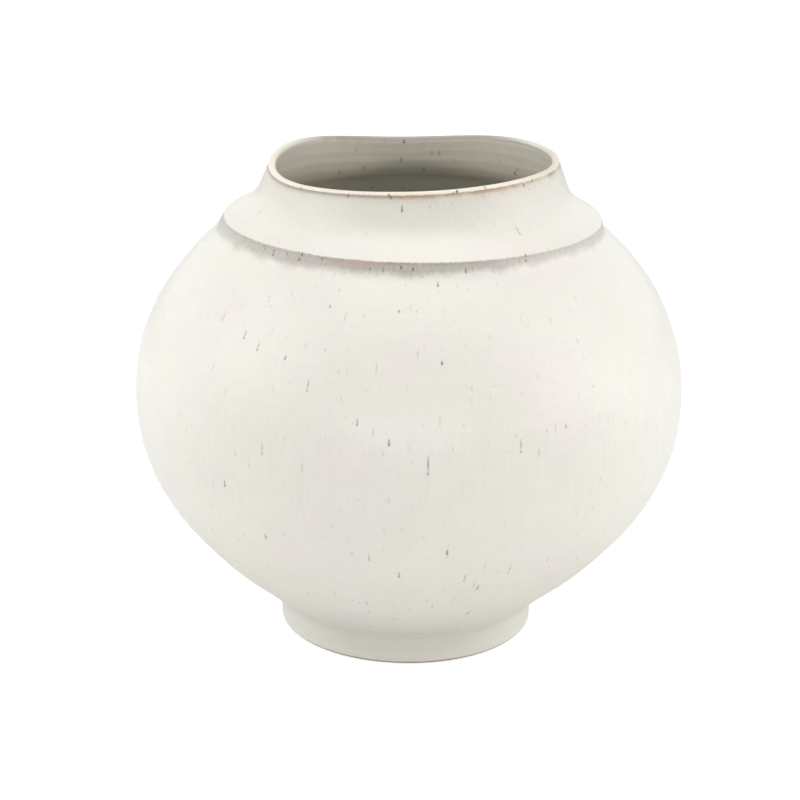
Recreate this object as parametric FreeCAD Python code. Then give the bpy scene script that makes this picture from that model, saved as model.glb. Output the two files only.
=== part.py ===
"""Moon jar: two thrown bowls joined at the belly, a turned foot, a wavy collar and three coats of glaze.

Millimetres, +Z up, origin on the table under the middle of the jar. Outlines are drawn in the XZ plane as
(radius, height). The master outlines are the outside of the glaze, and the clay lies one coat further in.
"""
import FreeCAD, Part

import math
import os

Vector = FreeCAD.Vector

# Glaze and slip
outer_glaze = 0.6
inner_glaze = 0.5
slip = 0.8

# Foot ring
foot_height = 12.0
foot_bottom_diameter = 122.0
foot_top_diameter = 123.4
foot_bore_bottom = 110.0
foot_bore_top = 103.0
foot_bevel = 0.6
bare_foot = 1.6          # unglazed strip at the foot's lower edge
glaze_pool = 2.2         # radius of the glaze that pools between foot and bowl

# Bowls
belly_diameter = 260.0
belly_height = 117.0
belly_wall = 6.0
root_wall = 8.5          # wall of the lower bowl just above the foot
floor_thickness = 9.5
floor_radius = 34.0      # the floor inside stays nearly flat out to here
floor_rise = 1.2
seam_groove = 2.2        # depth of the groove in the lower bowl's rim

# Collar
shoulder_height = 196.0
band_foot_diameter = 179.8
band_height = 5.1
band_top_diameter = 175.8
seat_width = 7.6         # ring of clay on which the collar sits
collar_height = 31.5     # from the shoulder to the mean height of the wavy lip
mouth_diameter = 127.4
lip_thickness = 3.7
collar_wall = 4.6
collar_shift = 0.9       # the collar leans this far to +X of the jar's axis

# Wave of the lip: cosine and sine part of its first four swells round the mouth
lip_wave = 1.6
lip_swell_shares = ((1, -0.12), (0.6, -0.56), (-0.15, 0.75), (-0.25, -0.22))

# Outlines, as shares of the span that each one covers
lower_rise_shares = (0.11, 0.25, 0.385, 0.52, 0.66, 0.80, 0.93)
lower_reach_shares = (0.18, 0.43, 0.622, 0.782, 0.896, 0.967, 0.996)
upper_rise_shares = (0.10, 0.28, 0.46, 0.64, 0.82)
upper_drop_shares = (0.009, 0.066, 0.19, 0.383, 0.655)
collar_rise_shares = (0.09, 0.20, 0.32, 0.45, 0.60, 0.77)
collar_reach_shares = (0.215, 0.425, 0.60, 0.73, 0.813, 0.889)

set_in_points = 9        # points on which an outline is set in
collar_sections = 16

foot_bottom_radius = foot_bottom_diameter / 2
foot_top_radius = foot_top_diameter / 2
bore_bottom_radius = foot_bore_bottom / 2
bore_top_radius = foot_bore_top / 2
belly_radius = belly_diameter / 2
band_foot_radius = band_foot_diameter / 2
band_top_radius = band_top_diameter / 2
mouth_radius = mouth_diameter / 2
lip_radius = mouth_radius + lip_thickness
bowl_base = foot_height + slip
upper_base = belly_height + slip
collar_base = shoulder_height + slip
band_top = collar_base + band_height
seat_outer = band_foot_radius - outer_glaze
seat_inner = seat_outer - seat_width
belly_clay = belly_radius - outer_glaze
belly_inner = belly_clay - belly_wall
foot_clay_bottom = foot_bottom_radius - outer_glaze
foot_clay_top = foot_top_radius - outer_glaze

middle = Vector(0, 0, 0)
upward = Vector(0, 0, 1)


def at(radius, height):
    return Vector(radius, 0, height)


def curve_through(points):
    curve = Part.BSplineCurve()
    curve.interpolate(Points=points)
    return curve


def curve_with_ends(points, start, end):
    """Curve through the points that leaves along start and arrives along end."""
    curve = Part.BSplineCurve()
    curve.interpolate(Points=points, InitialTangent=start, FinalTangent=end)
    return curve


def set_in(curve, depth_start, depth_end, level_start=True):
    """Points of a rising outline moved in by a depth that changes steadily from start to end.

    The ends move level, so that the seats there stay flat, but a start that isn't level moves square
    to the outline as the other points do.
    """
    first, last = curve.FirstParameter, curve.LastParameter
    moved = []
    for i in range(set_in_points):
        share = i / (set_in_points - 1)
        u = first + (last - first) * share
        run = curve.tangent(u)[0]
        inward = Vector(-run.z, 0, run.x)
        if share == 1 or (share == 0 and level_start):
            inward = Vector(-1, 0, 0)
        depth = depth_start + (depth_end - depth_start) * share
        moved.append(curve.value(u) + inward * depth)
    return moved


def outline_of(*stretches):
    """Closed wire from curves and lists of points; the points of a list are joined by straight lines."""
    edges = []
    for stretch in stretches:
        if isinstance(stretch, list):
            edges += [Part.makeLine(a, b) for a, b in zip(stretch, stretch[1:])]
        else:
            edges.append(stretch.toShape())
    return Part.Wire(Part.__sortEdges__(edges))


def turned(*stretches):
    """Solid turned from a closed outline round the jar's axis."""
    return Part.Face(outline_of(*stretches)).revolve(middle, upward, 360)


def lower_outline():
    """Outside of the lower bowl, from the foot up to the belly, where it stands upright."""
    points = [at(foot_top_radius, bowl_base)]
    for rise, reach in zip(lower_rise_shares, lower_reach_shares):
        points.append(at(foot_top_radius + (belly_radius - foot_top_radius) * reach,
                         bowl_base + (belly_height - bowl_base) * rise))
    points.append(at(belly_radius, belly_height))
    start = points[1] - points[0]
    return curve_with_ends(points, start, upward * start.Length)


def upper_outline():
    """Outside of the upper bowl, from the belly up to the collar."""
    points = [at(belly_radius, upper_base)]
    for rise, drop in zip(upper_rise_shares, upper_drop_shares):
        points.append(at(belly_radius - (belly_radius - band_foot_radius) * drop,
                         upper_base + (shoulder_height - upper_base) * rise))
    points.append(at(band_foot_radius, shoulder_height))
    end = points[-1] - points[-2]
    return curve_with_ends(points, upward * end.Length, end)


def lower_inside(coat):
    """Inside of the lower bowl from the middle of its floor up to the belly, with a coat of glaze on it."""
    floor = bowl_base + floor_thickness + coat
    wall = set_in(lower_outline(), outer_glaze + root_wall + coat, outer_glaze + belly_wall + coat)
    # The two lowest points of the wall give way to the floor
    points = [at(0, floor), at(floor_radius, floor + floor_rise)] + wall[2:]
    return curve_with_ends(points, Vector(floor_radius, 0, 0), at(0, floor_radius))


def upper_inside(coat):
    """Inside of the upper bowl from the belly up to the collar, with a coat of glaze on it."""
    return curve_through(set_in(upper_outline(), outer_glaze + belly_wall + coat,
                                outer_glaze + seat_width + coat))


def lower_clay():
    return curve_through(set_in(lower_outline(), outer_glaze, outer_glaze))


def upper_clay():
    return curve_through(set_in(upper_outline(), outer_glaze, outer_glaze))


def seam(height):
    """The V of the belly seam, from the outside of the clay to the inside."""
    trough = at((belly_clay + belly_inner) / 2, height - seam_groove)
    return [at(belly_clay, height), trough, at(belly_inner, height)]


def flat_ring(inner, outer, low, high):
    return turned([at(inner, low), at(outer, low), at(outer, high), at(inner, high), at(inner, low)])


def foot_side(height):
    """Radius of the foot's clay side at a height."""
    return foot_clay_bottom + (foot_clay_top - foot_clay_bottom) * height / foot_height


def foot_ring():
    return turned([
        at(bore_bottom_radius + foot_bevel, 0),
        at(foot_clay_bottom - foot_bevel, 0),
        at(foot_side(foot_bevel), foot_bevel),
        at(foot_clay_top, foot_height),
        at(bore_top_radius, foot_height),
        at(bore_bottom_radius, foot_bevel),
        at(bore_bottom_radius + foot_bevel, 0),
    ])


def foot_slip():
    return flat_ring(bore_top_radius, foot_clay_top, foot_height, bowl_base)


def lower_bowl():
    base = [at(0, bowl_base + floor_thickness), at(0, bowl_base), at(foot_clay_top, bowl_base)]
    return turned(base, lower_clay(), seam(belly_height), lower_inside(0))


def belly_slip():
    low, high = seam(belly_height), seam(upper_base)
    return turned(low + high[::-1] + low[:1])


def upper_bowl():
    seat = [at(seat_outer, shoulder_height), at(seat_inner, shoulder_height)]
    return turned(seam(upper_base), upper_clay(), seat, upper_inside(0))


def collar_slip():
    return flat_ring(seat_inner, seat_outer, shoulder_height, collar_base)


def body_glaze():
    """Coat on the foot and both bowls, from the bare strip up to the collar's band."""
    low = foot_side(bare_foot)
    coat = turned(
        [at(low, bare_foot), at(low + outer_glaze, bare_foot), at(foot_top_radius, bowl_base)],
        lower_outline(),
        [at(belly_radius, belly_height), at(belly_radius, upper_base)],
        upper_outline(),
        [at(band_foot_radius, shoulder_height), at(band_foot_radius, collar_base),
         at(seat_outer, collar_base), at(seat_outer, shoulder_height)],
        upper_clay(),
        [at(belly_clay, upper_base), at(belly_clay, belly_height)],
        lower_clay(),
        [at(foot_clay_top, bowl_base), at(foot_clay_top, foot_height), at(low, bare_foot)],
    )
    near = slip / 10
    corner = [edge for edge in coat.Edges
              if edge.BoundBox.ZLength < near
              and abs(edge.BoundBox.ZMax - bowl_base) < near
              and abs(edge.BoundBox.XMax - foot_top_radius) < near]
    return coat.makeFillet(glaze_pool, corner)


def lining_glaze():
    """Coat inside the bowls, from the middle of the floor up to the collar."""
    coat_inner = seat_inner - inner_glaze
    floor = bowl_base + floor_thickness
    return turned(
        lower_inside(0),
        [at(belly_inner, belly_height), at(belly_inner, upper_base)],
        upper_inside(0),
        [at(seat_inner, shoulder_height), at(seat_inner, collar_base),
         at(coat_inner, collar_base), at(coat_inner, shoulder_height)],
        upper_inside(inner_glaze),
        [at(belly_inner - inner_glaze, upper_base), at(belly_inner - inner_glaze, belly_height)],
        lower_inside(inner_glaze),
        [at(0, floor + inner_glaze), at(0, floor)],
    )


def lip_top(angle):
    """Height of the lip at an angle round the mouth."""
    swell = 0
    for number, (cosine, sine) in enumerate(lip_swell_shares, 1):
        swell += cosine * math.cos(number * angle) + sine * math.sin(number * angle)
    return shoulder_height + collar_height + lip_wave * swell


def collar_stretches(angle, outer_coat, inner_coat):
    """Band, outside, lip and inside of the collar at an angle, each set in by what is left off the coats.

    With both coats on, this is the glazed collar; with no coats, it is the clay.
    """
    shift = collar_shift * math.cos(angle)
    top = lip_top(angle)
    shoulder = top - lip_thickness / 2
    start = at(band_top_radius + shift, band_top)
    end = at(lip_radius + shift, shoulder)
    points = [start]
    for rise, reach in zip(collar_rise_shares, collar_reach_shares):
        points.append(start + at((end.x - start.x) * reach, (end.z - start.z) * rise))
    points.append(end)
    master = curve_through(points)
    bare_outside = outer_glaze - outer_coat
    outside = set_in(master, bare_outside, bare_outside, level_start=False)
    # The two lowest points of the clay's inside give way to the seat, and its coat lies on that line
    bare_inside = set_in(master, outer_glaze + collar_wall, lip_thickness - inner_glaze)
    bare_inside = curve_through([at(seat_inner, collar_base)] + bare_inside[2:])
    inside = set_in(bare_inside, inner_coat, inner_coat)
    lip_middle = at((outside[-1].x + inside[-1].x) / 2, top - bare_outside)
    band = [at(band_foot_radius - bare_outside, collar_base), outside[0]]
    lip = Part.Arc(outside[-1], lip_middle, inside[-1])
    return band, curve_through(outside), lip, curve_through(inside)


def lofted_round(section):
    """Solid through the sections that a function gives at steady angles round the axis."""
    wires = []
    for i in range(collar_sections):
        share = i / collar_sections
        wire = section(2 * math.pi * share)
        wire.rotate(middle, upward, 360 * share)
        wires.append(wire)
    return Part.makeLoft(wires, True, False, True)


def collar_filled(outer_coat, inner_coat):
    """The collar with its coats, as one solid. With no coats it is the clay."""
    def section(angle):
        seat = [at(seat_inner - inner_coat, collar_base), at(seat_outer + outer_coat, collar_base)]
        return outline_of(*collar_stretches(angle, outer_coat, inner_coat), seat)
    return lofted_round(section)


def neck_collar():
    return collar_filled(0, 0)


def collar_glaze():
    """Coat on the collar: up its outside, over the lip and down its inside."""
    return collar_filled(outer_glaze, inner_glaze).cut(neck_collar())


pieces = {
    "foot_ring": foot_ring,
    "foot_slip": foot_slip,
    "lower_bowl": lower_bowl,
    "belly_slip": belly_slip,
    "upper_bowl": upper_bowl,
    "collar_slip": collar_slip,
    "neck_collar": neck_collar,
    "body_glaze": body_glaze,
    "lining_glaze": lining_glaze,
    "collar_glaze": collar_glaze,
}


def main():
    os.makedirs("parts", exist_ok=True)
    for name, make in pieces.items():
        shape = make()
        if not shape.isValid() or len(shape.Solids) != 1:
            raise ValueError(name + " isn't one valid solid")
        shape.exportStep(os.path.join("parts", name + ".step"))
        box = shape.BoundBox
        print("%-12s %9.0f mm3, x %.2f to %.2f, z %.2f to %.2f"
              % (name, shape.Volume, box.XMin, box.XMax, box.ZMin, box.ZMax))


if __name__ == "__main__":
    main()
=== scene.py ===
"""Looks of the moon jar: its three coats of glaze turned anew over the packed clay, and every material.

Metres, +Z up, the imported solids' own frame. Outlines are drawn in the XZ plane as (radius, height).
"""
import math
from collections import namedtuple

import bmesh
import bpy
from mathutils import Matrix, Vector, noise
from mathutils.bvhtree import BVHTree
from mathutils.geometry import interpolate_bezier


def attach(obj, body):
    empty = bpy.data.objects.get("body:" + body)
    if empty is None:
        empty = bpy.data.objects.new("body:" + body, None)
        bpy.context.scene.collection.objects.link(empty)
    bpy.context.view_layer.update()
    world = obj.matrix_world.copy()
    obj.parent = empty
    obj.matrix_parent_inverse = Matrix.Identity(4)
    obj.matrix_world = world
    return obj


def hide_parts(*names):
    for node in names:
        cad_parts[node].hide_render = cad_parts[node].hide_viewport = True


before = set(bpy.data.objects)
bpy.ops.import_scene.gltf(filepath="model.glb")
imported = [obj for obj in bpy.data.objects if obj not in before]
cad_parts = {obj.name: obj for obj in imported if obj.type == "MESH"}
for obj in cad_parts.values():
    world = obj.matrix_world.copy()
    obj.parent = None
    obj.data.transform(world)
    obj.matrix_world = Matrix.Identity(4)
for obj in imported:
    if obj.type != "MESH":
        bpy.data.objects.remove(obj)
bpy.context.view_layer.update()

bl_info = {
    "name": "Moon jar",
    "version": (1, 0, 0),
    "blender": (4, 5, 0),
    "location": "3D View > Sidebar > Moon jar",
    "description": "Turns the glaze of a thrown moon jar over its clay, and sets it in a plain studio",
    "category": "Add Mesh",
}

mm = 0.001

# Outlines, as shares of the span that each one covers
lower_rise_shares = (0.11, 0.25, 0.385, 0.52, 0.66, 0.80, 0.93)
lower_reach_shares = (0.18, 0.43, 0.622, 0.782, 0.896, 0.967, 0.996)
upper_rise_shares = (0.10, 0.28, 0.46, 0.64, 0.82)
upper_drop_shares = (0.009, 0.066, 0.19, 0.383, 0.655)
collar_rise_shares = (0.09, 0.20, 0.32, 0.45, 0.60, 0.77)
collar_reach_shares = (0.215, 0.425, 0.60, 0.73, 0.813, 0.889)
lip_swell_shares = ((1, -0.12), (0.6, -0.56), (-0.15, 0.75), (-0.25, -0.22))

# The photograph's camera: focal length in its pixels, and its turns in radians
image_width = 800
focal_pixels = 2100.3
camera_place = Vector((0, -0.9542, 0.4345))
camera_pan, camera_pitch, camera_roll = -0.0043, 0.3277, 0.0127

# Fine shape of the coats that the sizes don't give
foot_corner = 4.2 * mm
foot_tuck = 0.25 * mm
edge_corner = 0.45 * mm
cove_height = 2.4 * mm
sharp_angle = math.radians(42)

# Spacing of the points that the coats' lines have, and of the finer lines from which a few points are picked
foot_spacing, bowl_spacing, band_spacing, collar_spacing = 0.6 * mm, 1.5 * mm, 0.5 * mm, 0.9 * mm
inside_spacing, lining_spacing = 1.2 * mm, 1.3 * mm
fine_spacing, finest_spacing = 0.6 * mm, 0.3 * mm
wall_points = 9
weld_distance = 0.002 * mm

# How finely the coats are turned: steps round the jar, points of the outer line to one against the clay, and slices
body_steps, collar_steps, lining_steps = 288, 576, 256
back_step = 3
slices = 16

# Marks of the hands and the wheel, in mm: the body's coat starts a little sunk, so that they stay inside the outline
sunk = 0.22
lump_depth, lump_height = 0.2, 70
ring_depth, ring_pitch = 0.05, 7
turning_depth, turning_pitch = 0.07, 2.3
fuller_depth, fuller_height = 0.9, 176
bead_depth, groove_depth = 0.14, 0.24
inner_ring_depth, inner_ring_pitch = 0.28, 5.5

# Strewn iron specks: the cell in mm of the unrolled jar that holds one, a speck's width and length in mm,
# the share of cells that hold one, the pattern's shift, and the strength
faint_specks = ((9, 14), 0.8, 3.2, 0.5, 3.3, 0.13)
pepper_specks = ((5, 6), 0.45, 0.6, 0.25, 8.7, 0.16)
bold_specks = ((15, 20), 0.9, 3.0, 0.45, 1.9, 0.75)
collar_faint_specks = ((17, 13), 0.8, 2.2, 0.35, 5.1, 0.14)
lining_specks = ((12, 14), 0.9, 2.4, 0.5, 2.7, 0.5)

# The photograph's marks: how wide a speck is, how deep a mark reaches, and how dark tails and heads are
speck_width = 0.62 * mm
mark_depth = 4 * mm
tail_strength, head_strength = 1.035, 1.104

# Faint rings in the glaze at the foot: mm along the outline from its lower edge, half width in mm, strength
foot_rings = ((21.5, 1.1, 0.3), (16.5, 0.9, 0.2), (4.6, 0.6, 0.22), (6.6, 0.5, 0.16))

# Shades that darken a colour: the hairlines and the mist in the ground, and the painted shade deep inside the jar
hairline_shade = (0.965, 0.962, 0.95, 1)
mist_shade = (0.985, 0.985, 0.98, 1)
deep_shade = (0.64, 0.64, 0.62, 1)
bump_depth = 0.2 * mm

# Settings that several nodes share: a mix of two colours, a colour darkened by another, and a soft ramp
of_colours = {"data_type": "RGBA", "out": 2}
as_shade = {"data_type": "RGBA", "blend_type": "MULTIPLY", "out": 2}
softly = {"interpolation_type": "SMOOTHSTEP"}
# Where a point lies on the jar, in mm and radians: its place, how far to the right, its angle from the front
# either way, the way round at the belly, the way along the outline, and its radius as a share of the belly's
Unrolled = namedtuple("Unrolled", "place side aside round_way along stretch")

# The studio: each lamp's place and size in metres and its watts; those behind the jar are a little cool
lamps = {
    "right_softbox": ((1.15, -0.35, 0.85), (1.0, 1.0), 3.0),
    "left_softbox": ((-1.15, -0.35, 0.85), (1.0, 1.0), 3.8),
    "back_left_softbox": ((-1.2, 0.6, 0.5), (1.0, 0.6), 2.6),
    "back_right_softbox": ((1.2, 0.6, 0.5), (1.0, 0.6), 0.8),
    "top_softbox": ((0, 0, 1.4), (1.2, 1.2), 6.0),
    "front_card": ((0, -1.6, 0.35), (1.6, 0.6), 4.2),
    "right_card": ((1.3, -0.3, 0.3), (1.2, 0.5), 1.8),
    "back_left_card": ((-1.05, 0.35, 0.1), (0.8, 0.18), 2.0),
    "back_right_card": ((1.05, 0.35, 0.1), (0.8, 0.18), 2.4),
}
lamp_target = Vector((0, 0, 0.12))
cool_light = (0.86, 0.93, 1.0)
air_light = 0.48
paper_glow = 0.62

# Iron specks where the photograph shows them: pixel of the dark lower end, length up from it in pixels, strength
body_specks = (
    (442, 364, 5, 0.8), (428, 474, 21, 0.8), (521, 452, 16, 0.6), (453, 451, 6, 0.3), (440, 428, 15, 0.3),
    (566, 427, 5, 0.45), (547, 433, 5, 0.4), (556, 434, 14, 0.25), (594, 388, 5, 0.4), (630, 394, 5, 0.25),
    (516, 437, 4, 0.4), (539, 458, 12, 0.4), (472, 392, 8, 0.25), (418, 360, 14, 0.3), (417, 313, 5, 0.4),
    (490, 340, 8, 0.2), (552, 323, 8, 0.25), (579, 344, 10, 0.25), (600, 484, 10, 0.25), (412, 464, 6, 0.2),
    (464, 428, 6, 0.2), (582, 433, 6, 0.2), (522, 394, 3, 0.3), (494, 387, 3, 0.3),
    (399, 577, 6, 0.8), (477, 589, 6, 0.9), (464, 581, 8, 0.6), (472, 589, 10, 0.35), (467, 614, 5, 0.7),
    (508, 573, 10, 0.5), (452, 604, 10, 0.3), (353, 602, 4, 0.35), (360, 605, 4, 0.3), (367, 604, 5, 0.45),
    (370, 613, 4, 0.3), (427, 603, 5, 0.3), (432, 608, 5, 0.4), (394, 620, 4, 0.3), (410, 612, 5, 0.25),
    (310, 597, 7, 0.4), (313, 623, 4, 0.3), (456, 630, 4, 0.4), (445, 642, 4, 0.3), (369, 560, 7, 0.5),
    (447, 554, 6, 1.0), (447, 558, 4, 0.35), (546, 563, 7, 0.35), (555, 567, 4, 0.3), (576, 560, 5, 0.45),
    (573, 556, 4, 0.25), (603, 533, 6, 0.4), (577, 535, 6, 0.25), (576, 518, 10, 0.2), (592, 511, 8, 0.25),
    (270, 569, 5, 0.4), (352, 556, 5, 0.35), (266, 538, 6, 0.7), (240, 543, 8, 0.25), (216, 536, 13, 0.35),
    (221, 521, 13, 0.2), (332, 527, 3, 0.3), (358, 501, 3, 0.25), (389, 504, 8, 0.35), (285, 537, 5, 0.25),
    (338, 600, 14, 0.2), (483, 572, 14, 0.2), (339, 292, 5, 0.4), (315, 287, 5, 0.25), (292, 295, 5, 0.35),
    (269, 298, 5, 0.35), (438, 286, 6, 0.75), (222, 320, 11, 0.45), (244, 338, 10, 0.7), (257, 350, 11, 0.55),
    (285, 359, 6, 0.7), (268, 302, 5, 0.3), (271, 308, 5, 0.3), (272, 333, 10, 0.2), (344, 323, 14, 0.25),
    (330, 307, 4, 0.5), (364, 318, 8, 0.2), (399, 312, 4, 0.5), (305, 349, 9, 0.25), (307, 391, 15, 0.5),
    (290, 383, 3, 0.3), (338, 375, 7, 0.25), (376, 376, 18, 0.25), (212, 371, 9, 0.2), (224, 398, 17, 0.2),
    (357, 425, 9, 0.6), (353, 425, 5, 0.3), (341, 403, 9, 0.2), (389, 445, 8, 0.9), (373, 438, 12, 0.3),
    (383, 457, 7, 0.25), (262, 454, 13, 0.45), (235, 459, 12, 0.3), (214, 486, 9, 0.25), (225, 486, 8, 0.85),
    (302, 474, 12, 0.3), (148, 411, 9, 0.2), (249, 470, 12, 0.2), (325, 351, 5, 0.35), (422, 278, 4, 0.35),
)
collar_specks = (
    (259, 213, 7, 0.45), (250, 232, 3, 0.25), (263, 238, 3, 0.25), (278, 243, 4, 0.35), (402, 211, 8, 0.9),
    (430, 209, 6, 0.3), (366, 235, 5, 0.25), (329, 199, 5, 0.2), (484, 199, 6, 0.35), (503, 195, 6, 0.3),
    (452, 205, 4, 0.3), (495, 227, 7, 0.2), (520, 234, 11, 0.55), (526, 256, 5, 0.7), (549, 249, 3, 0.4),
    (265, 249, 4, 0.5), (264, 246, 3, 0.5), (274, 251, 3, 0.8), (273, 255, 3, 0.8), (287, 254, 3, 0.5),
    (302, 255, 5, 1.0), (299, 260, 4, 0.95), (279, 260, 3, 0.4), (322, 259, 3, 0.6), (318, 257, 3, 0.4),
    (269, 254, 3, 0.4), (250, 251, 6, 0.3), (401, 268, 4, 1.0), (413, 270, 5, 0.9), (370, 269, 3, 0.5),
    (383, 271, 6, 0.5), (466, 272, 7, 0.75), (473, 271, 5, 0.4), (478, 270, 5, 0.35), (526, 261, 4, 0.6),
    (520, 263, 5, 0.4), (389, 196, 4, 0.8), (391, 198, 3, 0.7), (348, 197, 4, 0.7), (288, 187, 3, 0.6),
    (284, 187, 3, 0.35), (301, 189, 4, 0.5), (457, 192, 4, 1.0), (453, 194, 3, 0.5), (485, 188, 3, 0.5),
    (532, 181, 4, 0.9), (524, 186, 4, 0.8), (529, 190, 4, 0.3),
)
# Specks seen in the mouth
mouth_specks = (
    (404, 144, 6, 1.0), (338, 175, 6, 0.55), (363, 170, 6, 0.5), (401, 163, 7, 0.55), (424, 172, 6, 0.7),
    (432, 156, 7, 0.45), (439, 156, 7, 0.45), (516, 176, 6, 0.9), (518, 172, 5, 0.5), (356, 152, 6, 0.3),
    (370, 177, 6, 0.25), (500, 163, 6, 0.3), (455, 163, 6, 0.2), (385, 142, 4, 0.3),
)
# Rosy blushes and rusty places on the band, and bare grey places on the lip's far side
band_blushes = (
    (229, 228, 7, 0.9), (255, 244, 6, 0.5), (334, 268, 7, 0.7), (345, 268, 8, 1.0), (357, 269, 8, 1.0),
    (369, 270, 8, 0.9), (381, 270, 8, 0.7), (478, 267, 6, 0.8), (488, 266, 5, 0.7), (300, 264, 6, 0.4),
)
band_rusts = ((386, 268, 6, 0.5), (396, 268, 6, 0.7), (406, 268, 6, 0.7), (414, 268, 5, 0.4))
lip_bares = ((326, 142, 4, 0.45), (343, 142, 5, 0.6), (360, 143, 4, 0.4))
collar_marks = {"specks": collar_specks, "mouth": mouth_specks, "blushes": band_blushes, "rusts": band_rusts,
                "bares": lip_bares}


def linear(hex_colour):
    """An sRGB hex colour as linear red, green, blue and a full alpha."""
    parts = [int(hex_colour[i:i + 2], 16) / 255 for i in (0, 2, 4)]
    return [c / 12.92 if c <= 0.04045 else ((c + 0.055) / 1.055) ** 2.4 for c in parts] + [1]


def length_setting(name, description, metres):
    return bpy.props.FloatProperty(name=name, description=description, default=metres, unit="LENGTH")


def colour_setting(name, description, hex_colour):
    return bpy.props.FloatVectorProperty(name=name, description=description, default=linear(hex_colour),
                                         subtype="COLOR", size=4)


class JarSizes(bpy.types.PropertyGroup):
    """Sizes of the jar, as its solids have them."""
    foot_bottom_diameter: length_setting("Foot, bottom", "Glazed foot across its lower edge", 0.122)
    foot_top_diameter: length_setting("Foot, top", "Glazed foot where the bowl starts", 0.1234)
    foot_height: length_setting("Foot height", "Height of the turned ring", 0.012)
    bare_foot: length_setting("Bare strip", "Height of clay left bare at the foot's edge", 0.0010)
    slip: length_setting("Slip", "Thickness of the slip in the joints", 0.0008)
    belly_diameter: length_setting("Belly", "Jar across its widest ring", 0.260)
    belly_height: length_setting("Belly height", "Height of the widest ring", 0.117)
    shoulder_height: length_setting("Shoulder height", "Height at which the collar sits", 0.196)
    band_foot_diameter: length_setting("Band, foot", "Edge band across its foot", 0.1798)
    band_top_diameter: length_setting("Band, edge", "Edge band across its crisp edge", 0.1758)
    band_height: length_setting("Band height", "Height of the edge band", 0.0051)
    collar_height: length_setting("Collar height", "From the shoulder to the lip", 0.0315)
    collar_shift: length_setting("Collar lean", "How far the collar leans to +X", 0.0009)
    lip_wave: length_setting("Lip wave", "Size of the lip's rise and fall", 0.0016)
    lip_thickness: length_setting("Lip", "Thickness of the lip", 0.0037)
    mouth_diameter: length_setting("Mouth", "Mouth inside the lip", 0.1274)
    seat_width: length_setting("Seat", "Width of the ring on which the collar sits", 0.0076)
    collar_wall: length_setting("Collar wall", "Clay of the collar", 0.0046)
    belly_wall: length_setting("Belly wall", "Clay at the belly", 0.006)
    root_wall: length_setting("Root wall", "Clay just above the foot", 0.0085)
    floor_thickness: length_setting("Floor", "Clay of the jar's floor", 0.0095)
    floor_radius: length_setting("Floor radius", "How far the inside floor stays flat", 0.034)
    floor_rise: length_setting("Floor rise", "Rise of the floor over that radius", 0.0012)
    coat: length_setting("Outer glaze", "Thickness of the outer glaze", 0.0006)
    lining: length_setting("Inner glaze", "Thickness of the inner glaze", 0.0005)
    joint_fill: length_setting("Joint fill", "Extra thickness of the inner glaze over the collar's joint", 0.0006)


class JarColours(bpy.types.PropertyGroup):
    """Colours of the glaze, the clay and the floor."""
    cream: colour_setting("Cream", "Main colour of the glaze", "E9E6DD")
    yellow_cream: colour_setting("Yellow cream", "Warm clouds in the glaze", "EBE7DB")
    rose_cream: colour_setting("Rose cream", "Rosy clouds in the glaze", "EAE4DD")
    green_cream: colour_setting("Green cream", "Cool clouds in the glaze", "E8E7DD")
    pool: colour_setting("Pool", "Thick glaze at the foot", "DAD8CE")
    thin_grey: colour_setting("Thin grey", "Glaze worn thin on the edge band", "B3AEA2")
    thin_rose: colour_setting("Thin rose", "Rosy patches of that thin glaze", "B6ADA8")
    rose: colour_setting("Rose", "Rosy blush on the edge band", "B8A29A")
    rust: colour_setting("Rust", "Iron line where the glaze breaks on an edge", "A5805F")
    edge_brown: colour_setting("Edge brown", "The same line on the left of the lip", "A19283")
    bead: colour_setting("Bead", "Thick warm glaze on the front of the lip", "F3E9D6")
    bead_end: colour_setting("Bead's end", "The bead at the right end of the lip", "D6CFB8")
    inner_edge: colour_setting("Inner edge", "Line on the lip's inner edge on the right", "8F8570")
    lip_film: colour_setting("Lip film", "Grey film on the far side of the lip", "9B9486")
    lip_bare: colour_setting("Bare lip", "Places rubbed bare on the far side of the lip", "8E847C")
    iron: colour_setting("Iron", "Iron specks", "6F6656")
    mouth_iron: colour_setting("Iron in the mouth", "Iron specks inside the mouth", "8A8172")
    clay: colour_setting("Clay", "Bare fired clay", "B9AC97")
    sand: colour_setting("Sand", "Sandy grain in the clay", "B8A486")
    flash: colour_setting("Flashing", "Clay turned rusty by the fire", "9F8A72")
    slip_light: colour_setting("Light slip", "Light grain of the slip", "B9A78D")
    slip_dark: colour_setting("Dark slip", "Dark grain of the slip", "A8957B")
    floor: colour_setting("Floor", "Studio floor", "F4F4F4")


def at(radius, height):
    return Vector((radius, 0, height))


def smooth_line(points, spacing, start=None, end=None):
    """Points about a spacing apart on the smooth line through these; it leaves along start, arrives along end."""
    spans = [(b - a).length for a, b in zip(points, points[1:])]
    ways = [None] * len(points)
    for i in range(1, len(points) - 1):
        before, after = spans[i - 1], spans[i]
        ways[i] = ((points[i + 1] - points[i]) * (before / after)
                   + (points[i] - points[i - 1]) * (after / before)) / (before + after)
    ways[0] = start or (points[1] - points[0]) * (2 / spans[0]) - ways[1]
    ways[-1] = end or (points[-1] - points[-2]) * (2 / spans[-1]) - ways[-2]
    line = [points[0]]
    for i, span in enumerate(spans):
        count = max(2, round(span / spacing) + 1)
        line += interpolate_bezier(points[i], points[i] + ways[i] * (span / 3),
                                   points[i + 1] - ways[i + 1] * (span / 3), points[i + 1], count)[1:]
    return line


def straight(a, b, spacing):
    count = max(1, round((b - a).length / spacing))
    return [a.lerp(b, i / count) for i in range(count + 1)]


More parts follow.
